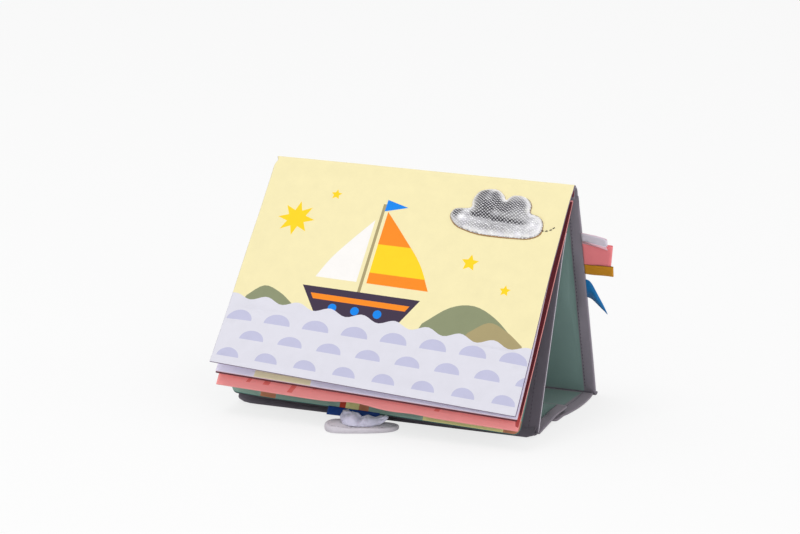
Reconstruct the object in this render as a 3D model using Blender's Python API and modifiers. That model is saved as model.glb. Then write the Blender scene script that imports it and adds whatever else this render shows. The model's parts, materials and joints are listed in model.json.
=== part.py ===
# A soft fabric book that stands as a tent for tummy time. Four padded pages hang over the
# ridge on the front slope. Front and back panels fold down from the ridge, and two base
# flaps overlap under them. X runs along the ridge, the pages face -Y and Z is up. The origin
# is the middle of the stand's footprint, on the surface that it stands on. Metres throughout.
import math

import bmesh
import bpy
from mathutils import Matrix

# Driving dimensions of the stand.
BOOK_WIDTH = 0.240
BOOK_HEIGHT = 0.1714
BASE_DEPTH = 0.119
RIDGE_SETBACK = 0.0733
GAP = 0.0003

# Spine seam along the ridge, and the page cloth. The first page's cloth wraps over the seam.
SPINE_RADIUS = 0.0044
CLOTH = 0.0003
WRAP_END_DEG = 205.0

# Pages, from the one in front to the one against the front panel. Their lengths down the
# slope are shares of the book's height.
PAGE_LEAN_DEG = (41.1, 38.8, 36.7, 31.3)
PAGE_LENGTH_SHARES = (1.0327, 1.0222, 1.0618, 1.0648)
PAGE_CROWNS = (0.0030, 0.0017, 0.0016, 0.0030)
PAGE_HEM_PITCH = 0.00070
PAGE_SEAM_GAP = 0.0005
PAGE_LINING_START = 0.030
BATTING_INSET = 0.018
BATTING_GAP = 0.00036
PAGE_COLUMNS = 10
PAGE_ROWS = 8

# Layers of the two panels and the two base flaps.
SKIN = 0.0006
BOARD = 0.0016
LINING = 0.0006
FLAP_SKIN = 0.0005
FLAP_BOARD = 0.0008
FLAP_LINING = 0.0005
BINDING_WIDTH = 0.0085
PANEL_LINING_START = 0.018
PANEL_FOOT_GAP = 0.0003

# Base flaps and their hook-and-loop closure.
FLAP_OVERLAP = 0.024
REAR_FLAP_FRONT = 0.0390
CLOSURE_STRIP = 0.0006
CLOSURE_WIDTH = 0.018
CLOSURE_END_INSET = 0.020

# Padded cloud on the first page.
CLOUD_CENTRE_X = 0.068
CLOUD_DOWN = 0.0265
CLOUD_WIDTH = 0.071
CLOUD_HEIGHT = 0.037
CLOUD_BACKING = 0.0005
CLOUD_RIM = 0.0010
CLOUD_CROWN = 0.0054

# Ribbon tags on the back panel's right-hand edge: how far down the slope each starts, its
# width, how far it stands out, its droop at the tip, and its width at the tip.
RIBBON_THICKNESS = 0.0006
RIBBON_DOWN = (0.0330, 0.0441, 0.0622, 0.0722)
RIBBON_WIDTHS = (0.0105, 0.0175, 0.0093, 0.0155)
RIBBON_REACH = (0.0205, 0.0230, 0.0235, 0.0135)
RIBBON_DROOP = (0.0, 0.0, 0.0, 0.0180)
RIBBON_TIP_WIDTHS = (0.0105, 0.0175, 0.0093, 0.0030)

# Dangling toy at the bottom of the fourth page.
TAB_X = -0.014
TAB_WIDTH = 0.038
TAB_THICKNESS = 0.0010
SATIN_X = -0.005
SATIN_TOP_WIDTH = 0.036
SATIN_FOOT_WIDTH = 0.030
SATIN_THICKNESS = 0.0010
SATIN_REACH = 0.0165
SATIN_HUMP = 0.0014
SATIN_GATHER = 0.0010
SATIN_FOOT_GATHER = 0.0003
PAD_X = -0.006
PAD_REACH = 0.0068
PAD_LENGTH = 0.053
PAD_WIDTH = 0.027
PAD_THICKNESS = 0.0040
PAD_WAIST = 0.0025
PAD_YAW_DEG = 22.0
PAD_EDGE_ROUND = 0.0010

# How finely the curved pieces are divided, and the shapes that are given as shares.
WRAP_STEPS = 9
RIBBON_STEPS = 6
GATHER_COUNT = 3
SATIN_STEPS = 8
SATIN_COLUMNS = 18
PAD_STEPS = 28
SPINE_STEPS = 24
PAD_END_POWER = 0.8
CLOUD_SHARES = (
    (-1.00, -0.45), (-0.94, -0.86), (-0.62, -1.00), (-0.20, -0.97), (0.25, -1.00),
    (0.66, -0.95), (0.95, -0.80), (1.00, -0.42), (0.84, -0.10), (0.62, -0.04),
    (0.64, 0.38), (0.44, 0.66), (0.20, 0.62), (0.06, 0.90), (-0.20, 1.00),
    (-0.46, 0.86), (-0.56, 0.52), (-0.50, 0.14), (-0.74, 0.12), (-0.94, -0.10),
)
CROWN_RING_SHARES = (1.0, 0.93, 0.78, 0.50)

# Places worked out from the sizes above.
HALF_WIDTH = BOOK_WIDTH / 2
PAGE_LENGTHS = [share * BOOK_HEIGHT for share in PAGE_LENGTH_SHARES]
FRONT_Y = -BASE_DEPTH / 2
RIDGE_Y = FRONT_Y + RIDGE_SETBACK
WRAP_RADIUS = SPINE_RADIUS + GAP + CLOTH / 2
RIDGE_Z = BOOK_HEIGHT - WRAP_RADIUS - CLOTH / 2
LEAF_START = WRAP_RADIUS + CLOTH / 2 + GAP
FRONT_LEAN = math.atan2(RIDGE_SETBACK, RIDGE_Z)
BACK_LEAN = math.atan2(BASE_DEPTH - RIDGE_SETBACK, RIDGE_Z)
PANEL_THICKNESS = SKIN + BOARD + LINING + 2 * GAP
FLAP_THICKNESS = FLAP_SKIN + FLAP_BOARD + FLAP_LINING + 2 * GAP
CLOSURE_RISE = FLAP_THICKNESS + 2 * CLOSURE_STRIP + 3 * GAP
BINDING_INNER = HALF_WIDTH - BINDING_WIDTH

COLOURS = {
    "slate": (0.135, 0.120, 0.140, 1),
    "teal": (0.110, 0.190, 0.170, 1),
    "board": (0.55, 0.50, 0.42, 1),
    "batting": (0.85, 0.85, 0.83, 1),
    "page_1": (0.90, 0.85, 0.52, 1),
    "page_2": (0.76, 0.74, 0.86, 1),
    "page_3": (0.80, 0.16, 0.15, 1),
    "page_4": (0.22, 0.42, 0.30, 1),
    "silver": (0.62, 0.62, 0.62, 1),
    "navy": (0.02, 0.05, 0.22, 1),
    "lavender": (0.60, 0.58, 0.70, 1),
    "coral": (0.80, 0.16, 0.17, 1),
    "mustard": (0.42, 0.22, 0.02, 1),
    "blue": (0.01, 0.13, 0.45, 1),
    "felt": (0.55, 0.53, 0.50, 1),
    "closure": (0.05, 0.05, 0.06, 1),
}
ROUGHNESS = {"silver": 0.28, "blue": 0.35, "lavender": 0.45}
METALLIC = {"silver": 0.9}


def clear_scene():
    for thing in list(bpy.data.objects):
        bpy.data.objects.remove(thing, do_unlink=True)


def make_collection(name):
    group = bpy.data.collections.new(name)
    bpy.context.scene.collection.children.link(group)
    return group


def make_material(name, slot):
    material = bpy.data.materials.new(name)
    material.use_nodes = True
    shader = material.node_tree.nodes["Principled BSDF"]
    shader.inputs["Base Color"].default_value = COLOURS[slot]
    shader.inputs["Roughness"].default_value = ROUGHNESS.get(slot, 0.85)
    shader.inputs["Metallic"].default_value = METALLIC.get(slot, 0.0)
    return material


def add_object(name, mesh, slot, parent=None):
    piece = bpy.data.objects.new(name, mesh)
    piece.data.materials.append(make_material(name + "_finish", slot))
    book.objects.link(piece)
    piece.parent = parent
    return piece


def mesh_from(bm, name):
    bmesh.ops.recalc_face_normals(bm, faces=bm.faces)
    mesh = bpy.data.meshes.new(name)
    bm.to_mesh(mesh)
    bm.free()
    return mesh


def add_hinge(name, place, tilt):
    """An empty on a joint's axis, tilted so that its own -Z runs down the leaf it carries."""
    empty = bpy.data.objects.new(name, None)
    book.objects.link(empty)
    empty.location = place
    empty.rotation_euler = (tilt, 0, 0)
    return empty


def slab(name, slot, parent, low, high):
    """A box between two corners of its parent's frame."""
    bm = bmesh.new()
    bmesh.ops.create_cube(bm, size=1.0)
    size = [b - a for a, b in zip(low, high)]
    middle = [(a + b) / 2 for a, b in zip(low, high)]
    bmesh.ops.scale(bm, vec=size, verts=bm.verts)
    bmesh.ops.translate(bm, vec=middle, verts=bm.verts)
    return add_object(name, mesh_from(bm, name), slot, parent)


def laid_grid(columns, rows, place):
    """A flat grid whose crossings are moved to place(column, row)."""
    bm = bmesh.new()
    bmesh.ops.create_grid(bm, x_segments=columns, y_segments=rows, size=0.5)
    for vert in bm.verts:
        column = round((vert.co.x + 0.5) * columns)
        row = round((vert.co.y + 0.5) * rows)
        vert.co = place(column, row)
    return bm


def cloth(name, slot, parent, columns, rows, place, thickness):
    """A sheet laid out by place(column, row) as its middle surface, with a thickness."""
    mesh = mesh_from(laid_grid(columns, rows, place), name)
    piece = add_object(name, mesh, slot, parent)
    thicken = piece.modifiers.new("thickness", "SOLIDIFY")
    thicken.thickness = thickness
    thicken.offset = 0.0
    thicken.use_even_offset = True
    return piece


def page_x(column, half_width):
    """The place across a page of one of its columns."""
    return -half_width + 2 * half_width * column / PAGE_COLUMNS


def page_crown(crown, start, length, x, down):
    """How far a page's front cloth stands above its seams at a place on the page."""
    if down <= start:
        return 0.0
    along = (down - start) / (length - start)
    across = x / HALF_WIDTH
    return crown * math.sin(math.pi * along) * (1 - across**4)


def page_cloth(name, slot, parent, centre, start, length, crown):
    """One cloth of a page. Its front faces -Y and its rows run down the page."""
    def place(column, row):
        x = page_x(column, HALF_WIDTH)
        down = start + (length - start) * row / PAGE_ROWS
        lift = page_crown(crown, PAGE_LINING_START, length, x, down)
        return (x, -centre - lift, -down)

    cloth(name, slot, parent, PAGE_COLUMNS, PAGE_ROWS, place, CLOTH)


def wrapped_cloth(name, slot, parent, lean, centre, length, crown):
    """The first page's front cloth. It starts behind the ridge and wraps over the top of the
    spine seam. Its turns are measured from straight down, forwards and up."""
    first = math.radians(WRAP_END_DEG)
    last = lean + math.asin(centre / LEAF_START)

    def place(column, row):
        x = page_x(column, HALF_WIDTH)
        if row <= WRAP_STEPS:
            turn = first + (last - first) * row / WRAP_STEPS - lean
            return (x, -WRAP_RADIUS * math.sin(turn), -WRAP_RADIUS * math.cos(turn))
        share = (row - WRAP_STEPS - 1) / PAGE_ROWS
        down = LEAF_START + (length - LEAF_START) * share
        lift = page_crown(crown, PAGE_LINING_START, length, x, down)
        return (x, -centre - lift, -down)

    cloth(name, slot, parent, PAGE_COLUMNS, PAGE_ROWS + WRAP_STEPS + 1, place, CLOTH)


def page_batting(name, parent, back_face, front_centre, length, crown):
    """The thin pad between a page's two cloths: flat behind, crowned in front."""
    top = PAGE_LINING_START + BATTING_INSET
    low = length - BATTING_INSET
    side = HALF_WIDTH - BATTING_INSET

    def place(column, row):
        return (page_x(column, side), -back_face, -top - (low - top) * row / PAGE_ROWS)

    bm = laid_grid(PAGE_COLUMNS, PAGE_ROWS, place)
    grown = bmesh.ops.extrude_face_region(bm, geom=list(bm.faces))
    for item in grown["geom"]:
        if isinstance(item, bmesh.types.BMVert):
            x, _, z = item.co
            lift = page_crown(crown, PAGE_LINING_START, length, x, -z)
            item.co.y = CLOTH / 2 + BATTING_GAP - front_centre - lift
    add_object(name, mesh_from(bm, name), "batting", parent)


def hem_offsets():
    """How far each page's front cloth stands off the plane through the ridge axis, so that
    neighbouring hems lie one hem pitch apart where they leave the spine seam."""
    leans = [math.radians(a) for a in PAGE_LEAN_DEG]
    offsets = [0.0] * len(leans)
    behind_lean = FRONT_LEAN
    behind_offset = SKIN / 2
    for k in reversed(range(len(leans))):
        spread = LEAF_START * math.sin(leans[k] - behind_lean)
        offsets[k] = max(0.0, behind_offset + PAGE_HEM_PITCH - spread)
        behind_lean = leans[k]
        behind_offset = offsets[k]
    return offsets


def add_pages():
    hinges = []
    for k, offset in enumerate(hem_offsets()):
        number = k + 1
        lean = math.radians(PAGE_LEAN_DEG[k])
        length = PAGE_LENGTHS[k]
        crown = PAGE_CROWNS[k]
        hinge = add_hinge(f"page_{number}_hinge", (0, RIDGE_Y, RIDGE_Z), -lean)
        front = f"page_{number}_front"
        slot = f"page_{number}"
        if k == 0:
            wrapped_cloth(front, slot, hinge, lean, offset, length, crown)
        else:
            page_cloth(front, slot, hinge, offset, LEAF_START, length, crown)
        back_centre = offset - CLOTH - PAGE_SEAM_GAP
        page_cloth(f"page_{number}_back", slot, hinge, back_centre, PAGE_LINING_START,
                   length, 0.0)
        back_face = back_centre + CLOTH / 2 + GAP
        page_batting(f"page_{number}_batting", hinge, back_face, offset, length, crown)
        hinges.append((hinge, offset))
    return hinges


def add_spine():
    bm = bmesh.new()
    bmesh.ops.create_cone(bm, cap_ends=True, segments=SPINE_STEPS, radius1=SPINE_RADIUS,
                          radius2=SPINE_RADIUS, depth=BOOK_WIDTH,
                          matrix=Matrix.Rotation(math.pi / 2, 4, "Y"))
    hinge = add_hinge("spine_axis", (0, RIDGE_Y, RIDGE_Z), 0)
    add_object("spine_seam", mesh_from(bm, "spine_seam"), "slate", hinge)


def add_panel(name, lean, facing):
    """A panel from the ridge to the floor. facing is -1 for the front one, +1 for the back."""
    hinge = add_hinge(name + "_hinge", (0, RIDGE_Y, RIDGE_Z), facing * lean)
    foot = RIDGE_Z / math.cos(lean) - PANEL_FOOT_GAP
    taper = math.tan(lean)
    depth = 0.0

    def layer(part, slot, thickness, start, side_low, side_high):
        inner = depth + thickness
        near = facing * (SKIN / 2 - depth)
        far = facing * (SKIN / 2 - inner)
        low = (side_low, min(near, far), -(foot - (inner + SKIN / 2) * taper))
        high = (side_high, max(near, far), -start)
        return slab(f"{name}_{part}", slot, hinge, low, high)

    layer("skin", "slate", SKIN, LEAF_START, -HALF_WIDTH, HALF_WIDTH)
    depth += SKIN + GAP
    inside = BINDING_INNER - GAP
    binding = BOARD + GAP + LINING
    layer("binding_left", "slate", binding, PANEL_LINING_START, -HALF_WIDTH, -BINDING_INNER)
    layer("binding_right", "slate", binding, PANEL_LINING_START, BINDING_INNER, HALF_WIDTH)
    layer("board", "board", BOARD, PANEL_LINING_START, -inside, inside)
    depth += BOARD + GAP
    layer("lining", "teal", LINING, PANEL_LINING_START, -inside, inside)
    return hinge


def panel_inside_at(lean, facing, height):
    """The y of a panel's inner face at a height above the floor, in the ridge's plane."""
    outer = facing * (RIDGE_Z - height) * math.tan(lean)
    return RIDGE_Y + outer - facing * (PANEL_THICKNESS - SKIN / 2) / math.cos(lean)


def add_flap(name, axis_y, axis_z, facing, route):
    """A base flap that follows a route of (out, up) places from its crease, in three layers
    with a binding along each side. facing is +1 where it runs to +Y and -1 to -Y."""
    hinge = add_hinge(name + "_hinge", (0, axis_y, axis_z), 0)
    inside = BINDING_INNER - GAP

    def layer(part, slot, lift, thickness, low_x, high_x):
        def place(column, row):
            out, up = route[row]
            x = high_x if column else low_x
            return (x, facing * out, up + lift + thickness / 2)

        cloth(f"{name}_{part}", slot, hinge, 1, len(route) - 1, place, thickness)

    layer("skin", "slate", 0.0, FLAP_SKIN, -HALF_WIDTH, HALF_WIDTH)
    above = FLAP_SKIN + GAP
    layer("board", "board", above, FLAP_BOARD, -inside, inside)
    binding = FLAP_BOARD + GAP + FLAP_LINING
    layer("binding_left", "slate", above, binding, -HALF_WIDTH, -BINDING_INNER)
    layer("binding_right", "slate", above, binding, BINDING_INNER, HALF_WIDTH)
    layer("lining", "teal", above + FLAP_BOARD + GAP, FLAP_LINING, -inside, inside)
    return hinge


def add_base():
    """Both base flaps. The rear one lies flat, and the front one rises over its free end."""
    rear_y = panel_inside_at(BACK_LEAN, 1, FLAP_THICKNESS) - 2 * GAP
    free_y = FRONT_Y + REAR_FLAP_FRONT
    rear_length = rear_y - free_y
    rear = add_flap("rear_flap", rear_y, 0.0, -1, [(0.0, 0.0), (rear_length, 0.0)])
    front_y = panel_inside_at(FRONT_LEAN, -1, FLAP_THICKNESS) + 2 * GAP
    rise_length = free_y - front_y - 2 * GAP
    end = rise_length + FLAP_OVERLAP
    drop = -FLAP_THICKNESS
    raised = CLOSURE_RISE + drop
    route = [(0.0, drop), (rise_length, raised), (end, raised)]
    front = add_flap("front_flap", front_y, FLAP_THICKNESS, 1, route)
    side = HALF_WIDTH - CLOSURE_END_INSET
    loop_top = FLAP_THICKNESS + GAP + CLOSURE_STRIP
    mid_out = rear_length - FLAP_OVERLAP / 2
    slab("loop_strip", "closure", rear,
         (-side, -mid_out - CLOSURE_WIDTH / 2, FLAP_THICKNESS + GAP),
         (side, -mid_out + CLOSURE_WIDTH / 2, loop_top))
    strip_mid = rear_y - mid_out - front_y
    hook_low = loop_top + GAP - FLAP_THICKNESS
    slab("hook_strip", "closure", front,
         (-side, strip_mid - CLOSURE_WIDTH / 2, hook_low),
         (side, strip_mid + CLOSURE_WIDTH / 2, hook_low + CLOSURE_STRIP))


def cloud_page_lift(vert):
    """How far the page's crown lifts the cloud at one of its corners."""
    length = PAGE_LENGTHS[0]
    return page_crown(PAGE_CROWNS[0], PAGE_LINING_START, length, vert.co.x, -vert.co.z)


def add_cloud(hinge, offset):
    """The cloud's flat backing and its crowned padded front, on page 1's front cloth."""
    face = offset + CLOTH / 2
    points = [(share_x * CLOUD_WIDTH / 2, share_up * CLOUD_HEIGHT / 2)
              for share_x, share_up in CLOUD_SHARES]
    count = len(points)

    bm = bmesh.new()
    rings = []
    lift = {}
    for share in CROWN_RING_SHARES:
        ring = [bm.verts.new((CLOUD_CENTRE_X + x * share, 0, up * share - CLOUD_DOWN))
                for x, up in points]
        for vert in ring:
            lift[vert] = CLOUD_RIM + CLOUD_CROWN * (1 - share**4)
        rings.append(ring)
    top = bm.verts.new((CLOUD_CENTRE_X, 0, -CLOUD_DOWN))
    lift[top] = CLOUD_RIM + CLOUD_CROWN
    base = [bm.verts.new(vert.co) for vert in rings[0]]
    middle = bm.verts.new(top.co)
    for outer, inner in zip([base] + rings, rings):
        for k in range(count):
            n = (k + 1) % count
            bm.faces.new((outer[k], outer[n], inner[n], inner[k]))
    for k in range(count):
        n = (k + 1) % count
        bm.faces.new((rings[-1][k], rings[-1][n], top))
        bm.faces.new((base[n], base[k], middle))
    floor = face + CLOUD_BACKING + 2 * GAP
    for vert in bm.verts:
        vert.co.y = -(floor + cloud_page_lift(vert) + lift.get(vert, 0.0))
    add_object("cloud_pad", mesh_from(bm, "cloud_pad"), "silver", hinge)

    bm = bmesh.new()
    bmesh.ops.create_circle(bm, cap_ends=True, cap_tris=True, segments=count, radius=1.0)
    rim = [vert for vert in bm.verts if vert.is_boundary]
    for vert in bm.verts:
        vert.co = (CLOUD_CENTRE_X, 0, -CLOUD_DOWN)
    for vert, (x, up) in zip(rim, points):
        vert.co = (CLOUD_CENTRE_X + x, 0, up - CLOUD_DOWN)
    for vert in bm.verts:
        vert.co.y = -(face + GAP + CLOUD_BACKING / 2 + cloud_page_lift(vert))
    piece = add_object("cloud_backing", mesh_from(bm, "cloud_backing"), "silver", hinge)
    thicken = piece.modifiers.new("thickness", "SOLIDIFY")
    thicken.thickness = CLOUD_BACKING
    thicken.offset = 0.0


def add_ribbons():
    """Four ribbon tags that stand out of the back panel's right-hand edge."""
    for k, name in enumerate(("lavender", "coral", "mustard", "blue")):
        hinge = add_hinge(f"ribbon_{name}_hinge", ribbon_root(k), BACK_LEAN)

        def place(column, row):
            share = row / RIBBON_STEPS
            width = RIBBON_WIDTHS[k] + (RIBBON_TIP_WIDTHS[k] - RIBBON_WIDTHS[k]) * share
            side = width / 2 if column else -width / 2
            return (RIBBON_REACH[k] * share, 0, side - RIBBON_DROOP[k] * share**2)

        cloth(f"ribbon_{name}", name, hinge, 1, RIBBON_STEPS, place, RIBBON_THICKNESS)


def ribbon_root(k):
    """Where a ribbon tag leaves the back panel's edge, at the middle of the panel's layers."""
    down = RIBBON_DOWN[k] + RIBBON_WIDTHS[k] / 2
    inward = PANEL_THICKNESS / 2 - SKIN / 2
    y = RIDGE_Y + down * math.sin(BACK_LEAN) - inward * math.cos(BACK_LEAN)
    z = RIDGE_Z - down * math.cos(BACK_LEAN) - inward * math.sin(BACK_LEAN)
    return (HALF_WIDTH + GAP, y, z)


def toy_axis(offset):
    """The seam at the fourth page's lower edge that the dangling toy swings on."""
    lean = math.radians(PAGE_LEAN_DEG[3])
    down = PAGE_LENGTHS[3] + GAP + TAB_THICKNESS / 2 * math.sin(lean)
    depth = offset - (CLOTH + PAGE_SEAM_GAP) / 2
    y = RIDGE_Y - down * math.sin(lean) - depth * math.cos(lean)
    z = RIDGE_Z - down * math.cos(lean) + depth * math.sin(lean)
    return y, z


def add_toy(offset):
    """The navy tab, the gathered satin and the felt pad that lies on the floor."""
    y, z = toy_axis(offset)
    hinge = add_hinge("toy_hinge", (0, y, z), 0)
    tab_low = PAD_THICKNESS + GAP - z
    tab_side = TAB_THICKNESS / 2
    slab("toy_tab", "navy", hinge, (TAB_X - TAB_WIDTH / 2, -tab_side, tab_low),
         (TAB_X + TAB_WIDTH / 2, tab_side, 0.0))
    start_out = GAP + tab_side + SATIN_THICKNESS / 2
    start_z = -SATIN_THICKNESS - GAP
    end_z = PAD_THICKNESS + GAP + SATIN_THICKNESS / 2 + SATIN_FOOT_GATHER - z

    def place(column, row):
        share = row / SATIN_STEPS
        bulge = math.sin(math.pi * share)
        width = SATIN_TOP_WIDTH + (SATIN_FOOT_WIDTH - SATIN_TOP_WIDTH) * share
        wave = SATIN_FOOT_GATHER + (SATIN_GATHER - SATIN_FOOT_GATHER) * bulge
        turn = 2 * math.pi * GATHER_COUNT * column / SATIN_COLUMNS
        level = start_z + (end_z - start_z) * share**2 + SATIN_HUMP * bulge
        return (SATIN_X + width * (column / SATIN_COLUMNS - 0.5),
                -start_out - SATIN_REACH * share, level + wave * math.cos(turn))

    cloth("toy_satin", "lavender", hinge, SATIN_COLUMNS, SATIN_STEPS, place, SATIN_THICKNESS)
    add_pad("toy_pad", hinge, (PAD_X, -PAD_REACH, -z))


def add_pad(name, parent, foot):
    """The felt pad: a flat outline with round ends and a slight waist."""
    bm = bmesh.new()
    made = bmesh.ops.create_circle(bm, cap_ends=True, segments=PAD_STEPS, radius=1.0)
    for vert in made["verts"]:
        along, over, _ = vert.co
        reach = PAD_WIDTH / 2 - PAD_WAIST * (1 - abs(along))
        vert.co.x = PAD_LENGTH / 2 * math.copysign(abs(along)**PAD_END_POWER, along)
        vert.co.y = reach * math.copysign(abs(over)**PAD_END_POWER, over)
    bmesh.ops.rotate(bm, verts=bm.verts, matrix=Matrix.Rotation(math.radians(PAD_YAW_DEG), 3, "Z"))
    grown = bmesh.ops.extrude_face_region(bm, geom=list(bm.faces))
    raised = [v for v in grown["geom"] if isinstance(v, bmesh.types.BMVert)]
    bmesh.ops.translate(bm, vec=(0, 0, PAD_THICKNESS), verts=raised)
    bmesh.ops.translate(bm, vec=foot, verts=bm.verts)
    piece = add_object(name, mesh_from(bm, name), "felt", parent)
    bevel = piece.modifiers.new("soft edges", "BEVEL")
    bevel.width = PAD_EDGE_ROUND
    bevel.segments = 1
    return piece


clear_scene()
book = make_collection("tummy_time_book")
add_spine()
page_hinges = add_pages()
add_panel("front_panel", FRONT_LEAN, -1)
add_panel("back_panel", BACK_LEAN, 1)
add_base()
add_cloud(*page_hinges[0])
add_ribbons()
add_toy(page_hinges[3][1])
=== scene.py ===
import json
import math

import bmesh
import bpy
import numpy as np
from mathutils import Matrix, Vector, noise
from mathutils.geometry import delaunay_2d_cdt


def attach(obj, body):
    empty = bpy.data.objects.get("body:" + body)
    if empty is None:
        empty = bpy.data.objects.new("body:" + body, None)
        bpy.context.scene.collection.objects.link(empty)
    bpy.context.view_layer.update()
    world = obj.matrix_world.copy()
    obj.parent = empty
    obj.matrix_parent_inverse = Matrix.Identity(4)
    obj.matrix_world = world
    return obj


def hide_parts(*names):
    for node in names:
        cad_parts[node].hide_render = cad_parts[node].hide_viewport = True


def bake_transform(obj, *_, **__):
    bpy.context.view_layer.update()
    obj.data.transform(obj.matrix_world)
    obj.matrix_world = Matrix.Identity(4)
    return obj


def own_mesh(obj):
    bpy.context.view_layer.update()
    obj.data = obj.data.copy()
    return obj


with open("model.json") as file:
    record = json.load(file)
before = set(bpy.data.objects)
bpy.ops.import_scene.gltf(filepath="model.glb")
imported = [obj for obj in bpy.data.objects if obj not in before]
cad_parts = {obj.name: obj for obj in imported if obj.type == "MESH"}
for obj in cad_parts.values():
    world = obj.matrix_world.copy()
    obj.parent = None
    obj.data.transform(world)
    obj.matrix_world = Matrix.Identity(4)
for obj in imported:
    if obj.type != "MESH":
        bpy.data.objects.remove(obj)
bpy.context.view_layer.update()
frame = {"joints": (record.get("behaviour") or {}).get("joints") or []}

mm = 0.001
bookHalf = 120.0          # half the length of the ridge, mm
ridge = {joint["name"]: Vector(joint["pos_m"]) for joint in frame["joints"]}["page_1_turn"] / mm


# Small helpers

def toLinear(code):
    values = [int(code[i:i + 2], 16) / 255 for i in (0, 2, 4)]
    return [v / 12.92 if v <= 0.04045 else ((v + 0.055) / 1.055) ** 2.4 for v in values]


def clamp(value):
    return min(1.0, max(0.0, value))


def ramp(value, low, high):
    t = clamp((value - low) / (high - low))
    return t * t * (3 - 2 * t)


def bell(gap, wide):
    return math.exp(-(gap / wide)**2)


def arch(share):
    return math.sin(math.pi * share)


def lump(x, y, z):
    return noise.noise(Vector((x, y, z)))


def pair(colour):
    return (colour, colour) if isinstance(colour, str) else colour


def fromRidge(points):
    # (y, z) places in mm, given from the ridge's axis
    return [(ridge.y + y, ridge.z + z) for y, z in points]


def smoothLine(points, steps):
    # a curve through all the points, as a list of places
    pts = [np.array(p, float) for p in points]
    pts = [2 * pts[0] - pts[1]] + pts + [2 * pts[-1] - pts[-2]]
    line = []
    for a, b, c, d in zip(pts, pts[1:], pts[2:], pts[3:]):
        for k in range(steps):
            t = k / steps
            line.append(0.5 * (2 * b + (c - a) * t + (2 * a - 5 * b + 4 * c - d) * t**2
                    + (3 * b - a - 3 * c + d) * t**3))
    line.append(pts[-2])
    return np.array(line)


def addPiece(name, mesh, materials):
    for material in materials:
        mesh.materials.append(material)
    mesh.polygons.foreach_set("use_smooth", [True] * len(mesh.polygons))
    piece = bpy.data.objects.new(name, mesh)
    bpy.context.scene.collection.objects.link(piece)
    return piece


def meshObject(name, verts, faces, materials=()):
    mesh = bpy.data.meshes.new(name)
    mesh.from_pydata([tuple(v) for v in verts], [], faces)
    piece = addPiece(name, mesh, materials)
    mesh.validate()
    mesh.update()
    return piece


def bmeshOf(verts, faces, slots=()):
    bm = bmesh.new()
    made = [bm.verts.new(v) for v in verts]
    for k, face in enumerate(faces):
        bm.faces.new([made[n] for n in face]).material_index = slots[k] if slots else 0
    return bm, made


def bmeshObject(name, bm, materials):
    mesh = bpy.data.meshes.new(name)
    bmesh.ops.recalc_face_normals(bm, faces=bm.faces)
    bm.to_mesh(mesh)
    bm.free()
    return addPiece(name, mesh, materials)


def gridFaces(columns, rows):
    wide = columns + 1
    return [(j * wide + i, j * wide + i + 1, (j + 1) * wide + i + 1, (j + 1) * wide + i)
        for j in range(rows) for i in range(columns)]


def gridEdge(columns, rows):
    return [j * (columns + 1) + i for j in range(rows + 1) for i in range(columns + 1)
        if i in (0, columns) or j in (0, rows)]


def tubeFaces(count, rows):
    # between rings of count points that follow each other
    return [(row * count + k, row * count + n, (row + 1) * count + n, (row + 1) * count + k)
        for row in range(rows) for k, n in enumerate([*range(1, count), 0])]


def twoSided(faces, rim, count):
    # a sheet, the same sheet count points on and turned over, and the band between their rims
    return (faces + [tuple(count + k for k in reversed(face)) for face in faces]
        + [(onward, here, count + here, count + onward)
            for here, onward in zip(rim, rim[1:] + rim[:1])])


def declare(piece, rides, slot, replaced=()):
    # rides is one body, which the piece is attached to, or two bodies and two places, and then
    # the piece is only fixed where it stands
    (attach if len(rides) == 1 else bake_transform)(piece, *rides)
    if replaced:
        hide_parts(*replaced)


# Finishes

finishes = {}
waveTurn = 0.314          # a wave texture's scale times its pitch


def feed(node, inputs):
    # each input is a plain value or another node's output
    for key, value in inputs.items():
        if isinstance(value, bpy.types.NodeSocket):
            node.id_data.links.new(value, node.inputs[key])
        else:
            node.inputs[key].default_value = value
    return node


def nodeMaker(tree):
    # a function that makes a node in the tree and gives back one of its outputs
    def make(kind, inputs, output=0, **settings):
        node = tree.nodes.new("ShaderNode" + kind)
        for key, value in settings.items():
            setattr(node, key, value)
        return feed(node, inputs).outputs[output]

    def combine(operation, *values):
        return make("Math", dict(enumerate(values)), operation=operation)

    return make, combine


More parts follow.
